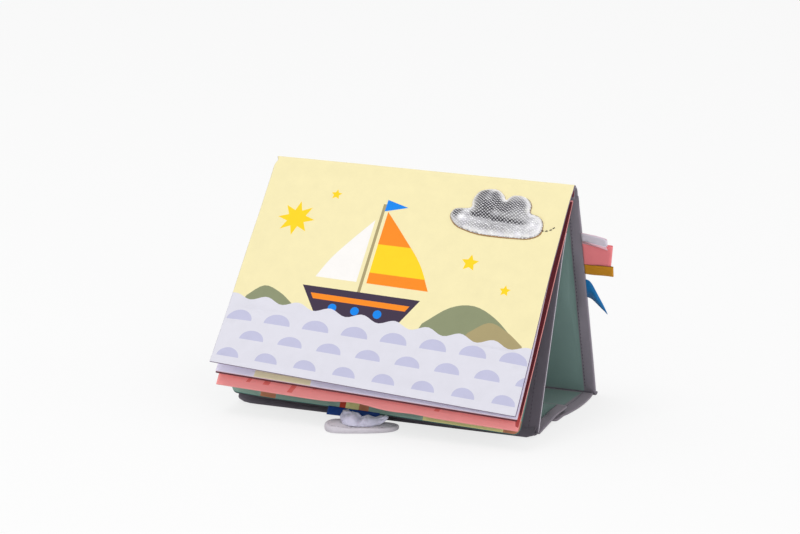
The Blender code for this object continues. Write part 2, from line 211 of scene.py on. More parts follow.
def clothFinish(name, colour, weave=0.55, bump=0.25, mottle=0.02, roughness=0.85, sheen=0.12,
        metallic=0.0, ribs=0.0, crinkle=0.0):
    # woven cloth: two crossing thread waves or ribs for the bump, slow noise for the colour
    if name in finishes:
        return finishes[name]
    material = finishes[name] = bpy.data.materials.new(name)
    material.use_nodes = True
    make, combine = nodeMaker(material.node_tree)
    place = make("TexCoord", {}, "Object")
    if ribs:
        raised = make("TexWave", {"Scale": waveTurn / (ribs * mm), "Vector": place},
            "Fac")
    else:
        threads = {"Scale": waveTurn / (weave * mm), "Distortion": 0.6, "Detail": 1.0,
            "Detail Scale": 0.5, "Vector": place}
        raised = combine("MULTIPLY",
            *[make("TexWave", threads, "Fac", bands_direction=way)
                for way in ("X", "Z")])
    if crinkle:
        crumple = make("TexNoise", {"Scale": 420.0, "Detail": 4.0, "Roughness": 0.6,
                "Vector": place}, "Fac")
        raised = combine("MULTIPLY_ADD", crumple, crinkle, raised)
    cloudy = make("TexNoise", {"Scale": 260.0 if crinkle else 90.0, "Detail": 5.0,
            "Roughness": 0.65, "Vector": place}, "Fac")
    shade = make("MapRange", {"From Min": 0.3, "From Max": 0.7, "Value": cloudy})
    dark, pale = ([min(1.0, c * (1 + change)) for c in toLinear(colour)] + [1]
        for change in (-mottle, mottle))
    feed(material.node_tree.nodes["Principled BSDF"], {
        "Roughness": roughness, "Metallic": metallic, "Sheen Weight": sheen,
        "Sheen Roughness": 0.5, "Specular IOR Level": 0.25,
        "Base Color": make("Mix", {"A": dark, "B": pale, "Factor": shade}, "Result",
                data_type="RGBA"),
        "Normal": make("Bump", {"Strength": bump, "Distance": 0.15 * mm,
                    "Height": raised})})
    return material


# The dark and shaded coral, the dark mauve hem, the deeper slate and teal, the crease colour and
# the darker coral and mustard ribbon edges are painted shade: darker copies of a cloth's colour
# where shade falls on it.
palette = {
    "sky": "F0E5B4", "sea": "DBDAE4", "scallop": "C0C0DA", "plum": "3E3146", "orange": "F58A1E",
    "gold": "FFD21E", "sail": "F4F1EE", "blue": "0A84E8", "khaki": "8A9070", "tan": "A89A70",
    "lilac": "E9E4F7", "paleYellow": "F2E6C0", "coral": "F79E9D", "coralDark": "E2716C",
    "coralDeep": "66262F", "coralShade": "B9504F", "green": "97B2A6", "patchOrange": "CC8666",
    "patchRed": "C8442F", "patchYellow": "F2E8A2", "hemMauve": "77687F", "hemPink": "DEC6D2",
    "hemCoral": "E99A96", "hemTeal": "4C7F78", "slate": "928B96", "slateDeep": "6A636D",
    "crease": "3C353F", "teal": "87A29D", "tealDeep": "748D88", "flapEdge": "8A828C",
    "piping": "D6D0DA", "thread": "4A3F4C", "feltThread": "B2ACB3", "felt": "D0CBD3",
    "cloudEdge": "B58A57", "satin": "CFCEE2", "darkThread": "2E2530", "navy": "0B3C86",
    "closure": "77707E", "ribbonLavender": "E6DDEA", "ribbonPink": "F0BCC8",
    "ribbonCoral": "FF8A90", "ribbonCoralDark": "D9656E", "ribbonMustard": "D08E14",
    "ribbonMustardDark": "96690C", "ribbonBlue": "0E78BC",
}
glossy = {"navy": 0.5, "ribbonBlue": 0.38, "ribbonLavender": 0.6, "ribbonPink": 0.6,
    "ribbonCoral": 0.6, "ribbonCoralDark": 0.6}


def dye(name):
    if name.startswith("ribbon"):
        return clothFinish(name + "Cloth", palette[name], bump=0.4, mottle=0.06,
            roughness=glossy.get(name, 0.7), sheen=0.2, ribs=0.9)
    return clothFinish(name + "Cloth", palette[name], roughness=glossy.get(name, 0.85))


# Sheets that are cut from flat shapes, then laid along a profile

def box(left, top, right, low):
    return [(left, top), (right, top), (right, low), (left, low)]


def curve(points, steps=4):
    return smoothLine(points, steps).tolist()


def circle(x, y, radius, count):
    turns = [math.radians(360 * k / count) for k in range(count)]
    return [(x + radius * math.cos(a), y + radius * math.sin(a)) for a in turns]


def dome(x, y, radius, count, squeeze):
    turns = [math.radians(180 + 180 * k / count) for k in range(count + 1)]
    return [(x + radius * math.cos(a), y + radius * squeeze * math.sin(a)) for a in turns]


def hill(left, right, foot, points):
    return [(left, foot)] + curve(points) + [(right, foot)]


def starShape(x, y, outer, inner, tips):
    spokes = [(inner if k % 2 else outer, math.pi * k / tips) for k in range(2 * tips)]
    return [(x + reach * math.sin(a), y - reach * math.cos(a)) for reach, a in spokes]


def anticlockwise(points):
    area = sum(a[0] * b[1] - b[0] * a[1] for a, b in zip(points, points[1:] + points[:1]))
    return list(points) if area > 0 else list(reversed(points))


def nearLines(points, lines, closed=True):
    # distance in mm from each point to the nearest part of the lines
    best = np.full(len(points), np.inf)
    for line in lines:
        a = np.array(line, float)
        step = (np.roll(a, -1, axis=0) - a)[:None if closed else -1]
        size = np.maximum((step**2).sum(1), 1e-9)
        for k, d in enumerate(step):
            t = np.clip(((points - a[k]) @ d) / size[k], 0, 1)
            best = np.minimum(best, np.hypot(*(points - a[k] - t[:, None] * d).T))
    return best


def insidePolygon(points, poly):
    a = np.array(poly, float)
    inside = np.zeros(len(points), bool)
    for (ax, ay), (bx, by) in zip(a, np.roll(a, -1, axis=0)):
        if ay != by:
            hit = (points[:, 1] > min(ay, by)) & (points[:, 1] <= max(ay, by))
            cross = ax + (points[:, 1] - ay) * (bx - ax) / (by - ay)
            inside ^= hit & (points[:, 0] < cross)
    return inside


def cutSheet(outline, xs, vs, shapes, clear=0.7):
    # triangles of a flat sheet: field 0 is the outline, later shapes lie on earlier ones
    rings = [anticlockwise(ring) for ring in [outline] + [poly for _, poly in shapes]]
    grid = np.array([(x, v) for v in vs for x in xs])
    keep = insidePolygon(grid, rings[0]) & (nearLines(grid, rings) > clear)
    coords, faces = [], []
    for ring in rings:
        faces.append(list(range(len(coords), len(coords) + len(ring))))
        coords += [Vector(p) for p in ring]
    coords += [Vector(p) for p in grid[keep]]
    verts, _, tris, origins, _, owners = delaunay_2d_cdt(coords, [], faces, 1, 1e-4, True)
    kept = [(tuple(tri), max(fields)) for tri, fields in zip(tris, owners) if 0 in fields]
    return [(v.x, v.y) for v in verts], [tri for tri, _ in kept], [f for _, f in kept], origins


def rimOf(tris):
    sides = {(a, b) for tri in tris for a, b in zip(tri, tri[1:] + tri[:1])}
    onward = {a: b for a, b in sides if (b, a) not in sides}
    start = min(onward)
    rim, here = [start], onward[start]
    while here != start:
        rim.append(here)
        here = onward[here]
    return rim


def outlineOf(xs, vs, corner):
    # a rectangle with its edge divided as the grid is; its low corners may be rounded
    left, right, top, low = xs[0], xs[-1], vs[0], vs[-1]
    turns = [math.pi / 2 * k / 5 for k in range(6 if corner else 1)]
    sides = [v for v in vs[1:] if v < low - corner - 0.2]
    return ([(x, top) for x in xs] + [(right, v) for v in sides]
        + [(right - corner + corner * math.cos(a), low - corner + corner * math.sin(a))
            for a in turns]
        + [(x, low) for x in reversed(xs)
            if left + corner + 0.2 < x < right - corner - 0.2]
        + [(left + corner - corner * math.sin(a), low - corner + corner * math.cos(a))
            for a in turns]
        + [(left, v) for v in reversed(sides)])


def leaf(name, xs, vs, place, faceColours, rimColours, front=(), back=(), corner=0.0,
        bulge=0.1):
    # a closed padded sheet: a printed front, a back, and a rounded rim between them
    faceColours, rimColours = pair(faceColours), pair(rimColours)
    flat, tris, fields, _ = cutSheet(outlineOf(xs, vs, corner), xs, vs, front)
    rim = rimOf(tris)
    ring = [flat[k] for k in rim]
    count = len(rim)
    backFlat, backTris, backFields, origins = cutSheet(ring, xs, vs, back)
    names = [faceColours[0]] + [colour for colour, _ in front]
    backNames = [faceColours[1]] + [colour for colour, _ in back]
    used = sorted({*names, *backNames, *rimColours})
    verts = [place(x, v, 1) for x, v in flat]
    middle = range(len(flat), len(flat) + count)
    for k, (x, v) in enumerate(ring):
        (ax, av), (bx, bv) = ring[k - 1], ring[(k + 1) % count]
        size = math.hypot(bx - ax, bv - av) or 1.0
        verts.append(place(x + (bv - av) / size * bulge, v - (bx - ax) / size * bulge, 0))
    first = len(verts)
    rimBack = {}
    for k, (x, v) in enumerate(backFlat):
        verts.append(place(x, v, -1))
        rimBack.update({origin: first + k for origin in origins[k] if origin < count})
    faces = tris + [tuple(first + k for k in reversed(tri)) for tri in backTris]
    slots = [names[f] for f in fields] + [backNames[f] for f in backFields]
    for k in range(count):
        n = (k + 1) % count
        faces += [(rim[n], rim[k], middle[k], middle[n]),
            (middle[n], middle[k], rimBack[k], rimBack[n])]
        slots += rimColours
    bm, _ = bmeshOf(verts, faces, [used.index(colour) for colour in slots])
    loose = [v for v in bm.verts if not v.link_faces]
    bmesh.ops.delete(bm, geom=loose, context="VERTS")
    return bmeshObject(name, bm, [dye(colour) for colour in used])


def leanProfile(points):
    # places (y, z) in mm along a sheet's middle line, with the outward normal at each
    line = np.array(points, float)
    step = np.diff(line, axis=0)
    run = np.concatenate([[0], np.cumsum(np.hypot(*step.T))])
    tangent = np.vstack([step[:1], (step[:-1] + step[1:]) / 2, step[-1:]])
    tangent /= np.hypot(*tangent.T)[:, None]

    def at(v):
        y, z = (np.interp(v, run, line[:, k]) for k in (0, 1))
        ty, tz = (np.interp(v, run, tangent[:, k]) for k in (0, 1))
        past = min(v, 0.0) + max(v - run[-1], 0.0)
        return y + ty * past, z + tz * past, tz, -ty

    return at, run[-1]


def spread(low, high, pitch, edge=0.8):
    count = max(2, round((high - low) / pitch))
    inner = [low + (high - low) * k / count for k in range(1, count)]
    return [low, low + edge] + inner + [high - edge, high]


def alongPoints(points, k):
    return (points[min(k + 1, len(points) - 1)] - points[max(k - 1, 0)]).normalized()


def stitches(name, points, normals, body, colour, length=1.9, width=0.42):
    # short threads, one at each place, lying along the row
    bm = bmesh.new()
    for k, (point, normal) in enumerate(zip(points, normals)):
        along = alongPoints(points, k)
        up = (normal - along * normal.dot(along)).normalized()
        turn = Matrix((along, along.cross(up), up)).transposed().to_4x4()
        size = Matrix.Diagonal((length / 2 * mm, width / 2 * mm, width / 2 * mm, 1))
        at = Matrix.Translation(point + up * 0.1 * mm)
        bmesh.ops.create_uvsphere(bm, u_segments=6, v_segments=4, radius=1.0,
            matrix=at @ turn @ size)
    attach(bmeshObject(name, bm, [dye(colour)]), body)


# Simulated cloth: a sheet that is sewn down at some points, filled and let go

def simulate(verts, faces, sewn, setup):
    trial = meshObject("clothTrial", verts, faces)
    trial.vertex_groups.new(name="sewn").add(sewn, 1.0, "REPLACE")
    cloth = trial.modifiers.new("fill", "CLOTH")
    stiff = setup["stiffness"]
    values = {"quality": 8, "mass": 0.15, "tension_stiffness": stiff,
        "compression_stiffness": stiff, "shear_stiffness": stiff / 2,
        "bending_stiffness": setup["bend"], "vertex_group_mass": "sewn",
        "shrink_min": setup["growth"], "use_pressure": True,
        "uniform_pressure_force": setup["pressure"]}
    for key, value in values.items():
        setattr(cloth.settings, key, value)
    cloth.settings.effector_weights.gravity = 0.0
    cloth.collision_settings.use_collision = False
    cloth.point_cache.frame_start = 1
    cloth.point_cache.frame_end = setup["frames"]
    for number in range(1, setup["frames"] + 1):
        bpy.context.scene.frame_set(number)
    evaluated = trial.evaluated_get(bpy.context.evaluated_depsgraph_get())
    settled = np.array([v.co for v in evaluated.data.vertices], float)
    trial.modifiers.remove(cloth)
    bpy.data.objects.remove(trial, do_unlink=True)
    bpy.context.scene.frame_set(1)
    return settled


# one filled rectangle gives the puckers of every page
pucker = {"columns": 72, "rows": 52, "frames": 24, "pressure": 3.0, "growth": -0.03,
    "stiffness": 15.0, "bend": 1.5, "flatten": 0.6}


def puckerField():
    columns, rows = pucker["columns"], pucker["rows"]
    start = [(x, y, 0.004 * lump(x * 3, y * 3, 0.7)) for y in np.linspace(0, 1.75, rows + 1)
        for x in np.linspace(-1.2, 1.2, columns + 1)]
    heights = simulate(start, gridFaces(columns, rows), gridEdge(columns, rows),
        pucker)[:, 2]
    heights = heights.reshape(rows + 1, columns + 1)
    heights = heights * (1 if heights.mean() > 0 else -1)
    return np.clip(heights / heights.max(), 0, 1) ** pucker["flatten"]


print("stage: puckers")
field = puckerField()


def puckerAt(x, share, flipX, flipV):
    columns, rows = pucker["columns"], pucker["rows"]
    i = min(max((0.5 + (-x if flipX else x) / (2 * bookHalf)) * columns, 0.0), columns - 1e-6)
    j = min(max((1 - share if flipV else share) * rows, 0.0), rows - 1e-6)
    a, b = int(i), int(j)
    u, w = i - a, j - b
    return ((field[b, a] * (1 - u) + field[b, a + 1] * u) * (1 - w)
        + (field[b + 1, a] * (1 - u) + field[b + 1, a + 1] * u) * w)


# Pages: lean and offset of the leaf, then the angle and reach of its left and right ends;
# a wave lengthens the leaf round a place (x, half width, amount)

# The hem of page 1 is coloured as its lilac back in painted shade; the back half of the hems of
# pages 2 and 4 is dark as painted shadow in the gap below, and the lip pulls that half further
# down.
pages = [
    {"length": 177.0, "lean": 41.1, "offset": 1.5, "left": (43.6, 173.2), "right": (39.4, 181.3),
     "puff": 3.2, "bow": 3.4, "skew": -0.9, "field": ("sky", "lilac"), "hem": "hemMauve",
     "dots": "scallop"},
    {"length": 175.2, "lean": 38.8, "offset": 1.01, "root": 8.6, "left": (39.2, 174.0),
     "right": (38.3, 181.6), "puff": 1.2, "bow": 1.6, "skew": -0.9, "inset": 1.6, "lip": 1.4,
     "field": ("lilac", "coral"), "hem": ("hemPink", "coralDeep"), "dots": "coralDark"},
    {"length": 182.0, "lean": 36.7, "offset": 0.51, "root": 7.4, "left": (37.2, 181.8),
     "right": (36.3, 188.0), "puff": 1.2, "bow": -1.8, "skew": -0.6,
     "wave": ((-8, 17, -2.4), (38, 12, -0.8)), "field": ("coral", "green"), "hem": "hemCoral",
     "dots": "patchYellow"},
    {"length": 182.5, "lean": 31.3, "offset": 0.31, "root": 7.0, "left": (28.6, 178.2),
     "right": (33.2, 187.6), "puff": 2.4, "bow": -1.2, "skew": -0.8, "inset": 2.0, "lip": 0.9,
     "trim": 2.6, "corner": 5.0, "wave": ((-85, 34, 0.8), (-22, 16, 0.2)),
     "field": ("green", "teal"), "hem": ("hemTeal", "crease"), "dots": "patchRed"},
]


def slopePoint(angle, down, out):
    # (y, z) from the ridge's axis, on a leaf that leans by angle from straight down
    a = math.radians(angle)
    return (-down * math.sin(a) - out * math.cos(a), -down * math.cos(a) + out * math.sin(a))


def boatScene(low):
    shapes = [
        ("khaki", hill(30, 110, 128, [(34, 118), (52, 103), (70, 99), (88, 106), (106, 120)])),
        ("tan", hill(66, 114, 128, [(70, 120), (84, 110), (98, 114), (112, 123)])),
        ("khaki", hill(-112, -66, 126, [(-108, 116), (-96, 106), (-82, 110), (-70, 118)])),
        ("plum", [(-66, 101), (28, 101), (14, 124), (-50, 124)]),
        ("orange", [(-58, 106.5), (21, 106.5), (18.5, 111), (-55, 111)]),
        ("tan", box(-22.2, 26, -19.8, 101)),
        ("orange", curve([(-17, 32), (2, 52), (20, 72), (32, 93)]) + [(-17, 93)]),
        ("gold", curve([(9.5, 60), (20, 72), (27.5, 84)], 3) + [(-17, 84), (-17, 60)]),
        ("sail", curve([(-25, 40), (-38, 58), (-50, 76), (-58, 93)]) + [(-25, 93)]),
        ("blue", [(-19.8, 22), (-2, 27), (-19.8, 32)]),
    ]
    shapes += [("blue", circle(x, 116.5, 3.4, 14)) for x in (-38, -20, -2)]
    shapes += [("gold", starShape(*star))
        for star in ((-88, 46, 15, 7.5, 8), (58, 66, 7, 3.4, 5), (90, 84, 4.5, 2.2, 5),
            (-62, 22, 4.5, 2.2, 5))]
    waveTop = [(x, 121 + 4.5 * x / 120 + 2.2 * math.cos(x * math.pi / 13))
        for x in range(-122, 124, 3)]
    shapes.append(("sea", waveTop + [(124, low + 4), (-124, low + 4)]))
    return shapes + [
        ("scallop", dome(x + row % 2 * 15, 137 + 15.5 * row, 10.5 - 0.8 * row, 14, 0.8))
        for row in range(3) for x in range(-108, 120, 31)]


# brush strokes of page 3: left, top, width, height
strokes = [
    (-100, 160, 4, 9), (-94, 171, 3, 6), (-78, 166, 5, 11), (-66, 160, 7, 14), (-59, 172, 4, 8),
    (-40, 168, 3, 7), (-8, 170, 4, 6), (26, 165, 6, 9), (58, 168, 4, 9), (-92, 60, 5, 14),
    (-60, 72, 6, 16), (-20, 58, 5, 12), (16, 80, 6, 16), (50, 62, 5, 12), (88, 84, 6, 14),
    (-84, 118, 6, 15), (-30, 112, 5, 13), (28, 124, 6, 14), (76, 128, 5, 12)]


def printShapes(number, top, low):
    # the printed shapes of a page, as (colour, outline), in mm across and down from the ridge
    if number == 1:
        return boatScene(low)
    if number == 2:
        return ([("paleYellow", dome(-66, low, 23.0, 24, 1.5))]
            + [(colour, circle(x, 110, 17, 24))
                for colour, x in (("paleYellow", -5), ("coral", 50), ("green", 100))])
    if number == 3:
        shapes = [("coralDark", [(x, y), (x + wide, y), (x + wide - tall * 0.5, y + tall),
                    (x - tall * 0.5, y + tall)]) for x, y, wide, tall in strokes]
        # page 3's dark band along its right edge, softer near its foot, is painted shadow cast by
        # pages 1 and 2, not print
        return shapes + [("coralShade", [(114.2, low - 16), (123, low - 16), (123, low - 1.2),
                    (117.5, low - 3.2)]),
            ("coralDeep", [(115.2, top + 1), (123, top + 1), (123, low - 8),
                    (119.8, low - 10), (115.2, low - 20)])]
    blocks = (("patchOrange", -95, 158, -82), ("patchRed", -28.5, 150, -23.5),
        ("patchYellow", -23.5, 150, -12.5), ("patchOrange", -12.5, 158, -4.5),
        ("patchYellow", 40, low - 5, 106), ("patchOrange", 106, low - 10, 123))
    return ([(colour, box(x, y, end, low + 3)) for colour, x, y, end in blocks]
        + [("patchRed", circle(-60, 90, 15, 22)), ("patchYellow", circle(30, 84, 15, 22)),
            ("patchOrange", circle(86, 96, 11, 18))])


def dots(low, colour):
    return [(colour, circle(x + j % 2 * 15, y, 4.5, 12))
        for j, y in enumerate(np.arange(34, low - 12, 24))
        for x in np.arange(-bookHalf + 18, bookHalf - 18, 30)]


pagePlace = {}


def addPage(number, page):
    length, lean = page["length"], page["lean"]
    isFront = number == 1
    if isFront:
        # over the ridge: from behind the peak, round the fold, and down the front
        foldLine = [(2.0, 2.75), (1.65, 3.4), (1.05, 3.95), (0.1, 4.25), (-1.0, 3.75),
            (-2.5, 2.0), (-4.6, -0.7), (-8.2, -5.3), (-16.0, -15.2)]
        rest = [slopePoint(lean, s, page["offset"] - 0.4) for s in (45, 80, 120, length)]
        line = smoothLine(foldLine + rest, 6)
    else:
        line = [slopePoint(lean, s, page["offset"])
            for s in np.linspace(page["root"], length, 12)]
    profile, total = leanProfile(fromRidge(line))
    xs = spread(-bookHalf, bookHalf, 4.0)
    vs = spread(0, total, 4.0)
    head = total - length                      # how far down the sheet its print starts
    puffFrom = 30
    if isFront:
        vs = [0, 0.6, 1.4, 2.2, 3.0, 3.8, 4.6, 5.4, 6.4, 7.6, 9, 11, 13.5, 16.5, 20]
        vs += spread(24, total, 3.6)[2:]
        head = 8.5
        puffFrom = 8

    def halfAt(x, v, side):
        down = v - head
        edge = min(bookHalf - abs(x), total - v)
        thin = 0.55 if isFront else 0.2 + 0.35 * ramp(down, 8, 30)
        groove = 0.28 * bell(edge - 3.2, 0.9) if down > 12 else 0.0
        if side < 0:
            return thin - groove * 0.5
        share = clamp((down - puffFrom) / (total - head - puffFrom))
        puff = page["puff"] * puckerAt(x, share, number % 2 == 0, number > 2)
        fine = 0.10 * lump(x / 9, v / 9, number) * ramp(edge, 0, 4)
        return thin + puff * ramp(edge, 3.6, 14) - groove + fine * ramp(down, 0, 20)

    def place(x, v, side):
        share = clamp((x + bookHalf) / (2 * bookHalf))
        if isFront:
            x += 1.8 * bell(v - 5.6, 2.6) * (1 - ramp(share, 0, 0.08))
        angle, reach = (start + (end - start) * share
            for start, end in zip(page["left"], page["right"]))
        reach += sum(size * bell(x - at, wide) for at, wide, size in page.get("wave", ()))
        # the lip lengthens the back half of the rim, so more of its painted shadow shows
        if side < 0:
            v += page.get("lip", 0) * ramp(v, total - 5, total)
        down = v - head
        longer = 1 + (reach / length - 1) * ramp(down, 0, 60)
        y, z, ny, nz = profile(v if down <= 0 else head + down * longer)
        middle = 0.0 if isFront else -0.4 * ramp(down, 8, 30)
        part = clamp(down / length)
        bow = page["bow"] * share**1.5 * arch(part**0.65)
        x += (page["skew"] * (1 - ramp(part, 0.3, 0.8))
            - page.get("inset", 0) * (1 - ramp(part, 0.3, 0.95)) * share**4)
        x -= page.get("trim", 0) * ramp(part, 0.25, 0.6) * share**12
        out = middle + bow + (side * halfAt(x, v, side) if side else 0.0)
        cy, cz = y + ny * out - ridge.y, z + nz * out - ridge.z
        turn = math.radians(angle - lean) * (ramp(down, 0, 30) if isFront else 1)
        return Vector((x, ridge.y + cy * math.cos(turn) + cz * math.sin(turn),
                ridge.z - cy * math.sin(turn) + cz * math.cos(turn))) * mm

    front, back = ([(colour, [(x, y + head) for x, y in poly]) for colour, poly in shapes]
        for shapes in (printShapes(number, -head, total - head),
            dots(total - head, page["dots"])))
    piece = leaf(f"page{number}Leaf", xs, vs, place, page["field"], page["hem"], front, back,
        page.get("corner", 0.0), 0.35)
    body = f"page_{number}"
    declare(piece, [body], body, [f"{body}_{part}" for part in ("front", "batting", "back")])
    pagePlace[number] = (place, head, total)


for number, page in enumerate(pages, 1):
    print("stage: page", number)
    addPage(number, page)


# Stand: two panels and two base flaps, each stiffened, with a bound edge

stand = {"binding": 8.8, "frontLean": 23.774, "backLean": -15.357, "skinHalf": 0.3,
    "fullHalf": 1.65, "puff": 0.35}


def slopeLine(lean, end, bow):
    # the board's middle line; bow holds how far it stands out, from its top to its foot
    start = 5.3
    downs = np.linspace(start, end, 40)
    outs = np.interp((downs - start) / (end - start), np.linspace(0, 1, len(bow)), bow)
    outs = np.convolve(np.pad(outs, 2, "edge"), np.ones(5) / 5, "valid")
    return fromRidge([slopePoint(lean, s, out) for s, out in zip(downs, outs)])


frontFlapLine = [(3.4, 5.7), (-19.0, 5.7)] + [(y, 5.7 - 4.5 * (-19 - y) / 35.3)
    for y in np.linspace(-22, -54.3, 9)]
# inside is the face with the lining; taper is the face that a panel's root thins towards
boards = [
    # the front board's cloth is slate darkened as painted shade, for the margin that stands in
    # the pages' shade
    {"name": "frontBoard", "body": "front_panel", "thin": 0.3, "inside": -1, "taper": -1,
     "line": slopeLine(stand["frontLean"], 181.0,
            (0, 1.6, 3.0, 3.0, 2.4, 1.9, 1.6, 1.2, 0.8, 0.4, 0)),
     "cloth": "slateDeep", "lining": "teal", "corner": 3.2, "topInset": 2.4},
    {"name": "backBoard", "body": "back_panel", "thin": 0.3, "inside": 1, "taper": 1,
     "line": slopeLine(stand["backLean"], 171.8,
            (-3.5, -3.3, -2.3, -1.4, -1.1, -1.0, -1.0, -1.0, -0.8, -0.4)),
     "cloth": "slate", "lining": "teal", "corner": 1.6, "half": 121.2, "topInset": 1.0,
     "insetEnd": 0.2},
    # the flaps' linings are teal darkened as painted shade
    {"name": "rearFlap", "body": "rear_flap", "thin": 1.15, "inside": 1, "taper": 0,
     "line": [(y, 1.2) for y in np.linspace(54.9, -20.4, 16)],
     "cloth": "flapEdge", "lining": "tealDeep", "corner": 4.0, "bulge": 2.9},
    {"name": "frontFlap", "body": "front_flap", "thin": 1.15, "inside": -1, "taper": 0,
     "line": frontFlapLine[::-1],
     "cloth": "flapEdge", "lining": "tealDeep", "corner": 4.0},
]
boardPlace = {}


def addBoard(board):
    name, body, thin, taper = (board[key] for key in ("name", "body", "thin", "taper"))
    half = board.get("half", bookHalf)
    seam = half - stand["binding"]             # where the lining meets the binding
    at, total = leanProfile(board["line"])

    def halfAt(x, v):
        inward = seam - abs(x)
        edge = min(half - abs(x), total - v, np.inf if taper else v)
        full = thin + (stand["fullHalf"] - thin) * ramp(v, 2, 15) if taper else thin
        rounding = 0.35 * (1 - ramp(edge, 0, 2.2))
        groove = 0.22 * bell(abs(inward), 0.7)
        inner = stand["puff"] * ramp(inward, 0, 14) * ramp(total - v, 3, 16)
        inner *= ramp(v, 12, 34)
        bound = 0.12 if -4 < inward < 0 else 0.0
        wave = 0.10 * lump(x / 11, v / 11, thin * 9)
        return full - rounding - groove + (inner - 0.3) * 0.5 + bound * 0.5 + wave

    def place(x, v, side):
        middle = taper * (stand["fullHalf"] - stand["skinHalf"]) * ramp(v, 2, 15)
        heel = 1.5 * ramp(v, total - 12, total) if side * taper > 0 else 0.0
        y, z, ny, nz = at(v - heel)
        out = middle + side * halfAt(x, v)
        topEnd = total * board.get("insetEnd", 1.0)
        x *= 1 - board.get("topInset", 0.0) / half * max(0.0, 1 - v / topEnd)
        x += board.get("bulge", 0.0) * arch(clamp(v / 60))**0.7 * ramp(x, 88, 120)
        return Vector((x, y + ny * out, z + nz * out)) * mm

    lining = [(board["lining"], box(-seam, 12 if taper else 2.4, seam, total - 0.5))]
    front, back = (lining, []) if board["inside"] > 0 else ([], lining)
    piece = leaf(name, spread(-half, half, 7.0), spread(0, total, 5.0), place, board["cloth"],
        board["cloth"], front, back, board["corner"], 0.15)
    parts = ("skin", "board", "lining", "binding_left", "binding_right")
    declare(piece, [body], "slate", [f"{body}_{part}" for part in parts])
    boardPlace[name] = (place, total)
    rows = np.arange(16 if taper else 4, total - 4, 3.0)
    for end, way in (("Left", -1), ("Right", 1)):
        x = way * (seam + 1.4)
        for label, face in (("A", 1), ("B", -1)):
            points = [place(x, v, face) for v in rows]
            normals = [(here - place(x, v, -face)).normalized() for here, v in zip(points, rows)]
            stitches(f"{name}Stitches{end}{label}", points, normals, body, "thread")


print("stage: stand")
for board in boards:
    addBoard(board)
for strip in ("hook_strip", "loop_strip"):
    bpy.data.objects[strip].data.materials.clear()
    bpy.data.objects[strip].data.materials.append(dye("closure"))


# Strips that follow a short line of (y, z) places: the ridge's cover, the roots of the pages
# and the folds at the two feet

def acrossHinge(bodies, y, z, start, end):
    # the two bodies, then the places at start and end along y; declare fixes the piece where it
    # stands and does not use them
    return (*bodies, *(Vector((0, y + step, z)) * mm for step in (start, end)))


strips = [
    {"name": "ridgeCover", "colour": "slate", "half": -0.35,
     "line": smoothLine([(-2.1, -4.9), (-1.75, -2.0), (-1.25, 1.2), (-0.75, 2.7), (0.1, 3.3),
                (0.95, 2.85), (2.2, 2.1), (3.4, 0.8), (4.0, -0.8), (4.5, -2.6),
                (4.8, -4.2)], 4) + np.array([ridge.y, ridge.z]),
     "ends": (-bookHalf + 0.3, bookHalf - 0.3), "replaces": ["spine_seam"],
     "rides": acrossHinge(("front_panel", "back_panel"), ridge.y, ridge.z, 0.3, 3.4)},
    # the roots of the pages are dark coral as painted shade under page 1's fold
    {"name": "pageRoots", "colour": "coralDeep", "half": 0.3,
     "line": smoothLine(fromRidge([(-2.0, 1.1), (-2.55, 0.0), (-3.0, -1.2), (-3.7, -3.3)]), 5),
     "ends": (-bookHalf + 0.6, bookHalf - 0.4), "thicker": 1.6, "rides": ("front_panel",)},
    # the front fold is slate darkened as painted shade in the fold
    {"name": "frontFold", "colour": "slateDeep", "half": 0.25,
     "line": smoothLine([(-58.6, 5.2), (-60.2, 3.2), (-61.5, 1.7), (-61.6, 0.5),
                (-59.8, 0.28), (-57.4, 0.3), (-55.3, 0.5)], 5),
     "ends": (-bookHalf + 1.2, bookHalf - 0.6), "endRise": 2.4, "forward": (5.4, 2.8),
     "rides": acrossHinge(("front_panel", "front_flap"), 0, 1, -59.6, -55.4)},
    # its rim has the dark crease colour, painted shade in the fold
    {"name": "backFold", "colour": "slate", "rim": "crease", "half": 0.25,
     "line": smoothLine([(59.9, 1.9), (60.2, 1.2), (59.6, 0.5), (58.2, 0.3), (56.2, 0.35),
                (55.1, 0.9)], 5),
     "ends": (-121.9, 121.9),
     "rides": acrossHinge(("back_panel", "rear_flap"), 0, 1, 59.4, 55.3)},
]


def addStrip(strip):
    at, total = leanProfile(strip["line"])
    left, right = strip["ends"]
    lips = strip.get("forward", (0.0, 0.0))    # how far its middle leans out at each end

    def place(x, v, side):
        y, z, ny, nz = at(v)
        belly = arch(v / total)
        out = strip["half"] * side * (1 + strip.get("thicker", 0.0) * belly)
        rise = strip.get("endRise", 0.0) * ramp(abs(x), right - 3.5, right)**2
        share = (x - left) / (right - left)
        lip = (lips[0] * (1 - share) + lips[1] * share) * belly
        lip *= ramp(x, left - 0.5, left + 14)**0.6
        return Vector((x, y - lip + ny * out, z + nz * out + rise)) * mm

    piece = leaf(strip["name"], spread(left, right, 6.0), spread(0, total, 0.8, 0.2), place,
        strip["colour"], strip.get("rim", strip["colour"]))
    declare(piece, strip["rides"], "slate", strip.get("replaces", ()))


for strip in strips:
    addStrip(strip)


# Silver cloud: a flat cut, sewn down along its outline and one crease, then filled

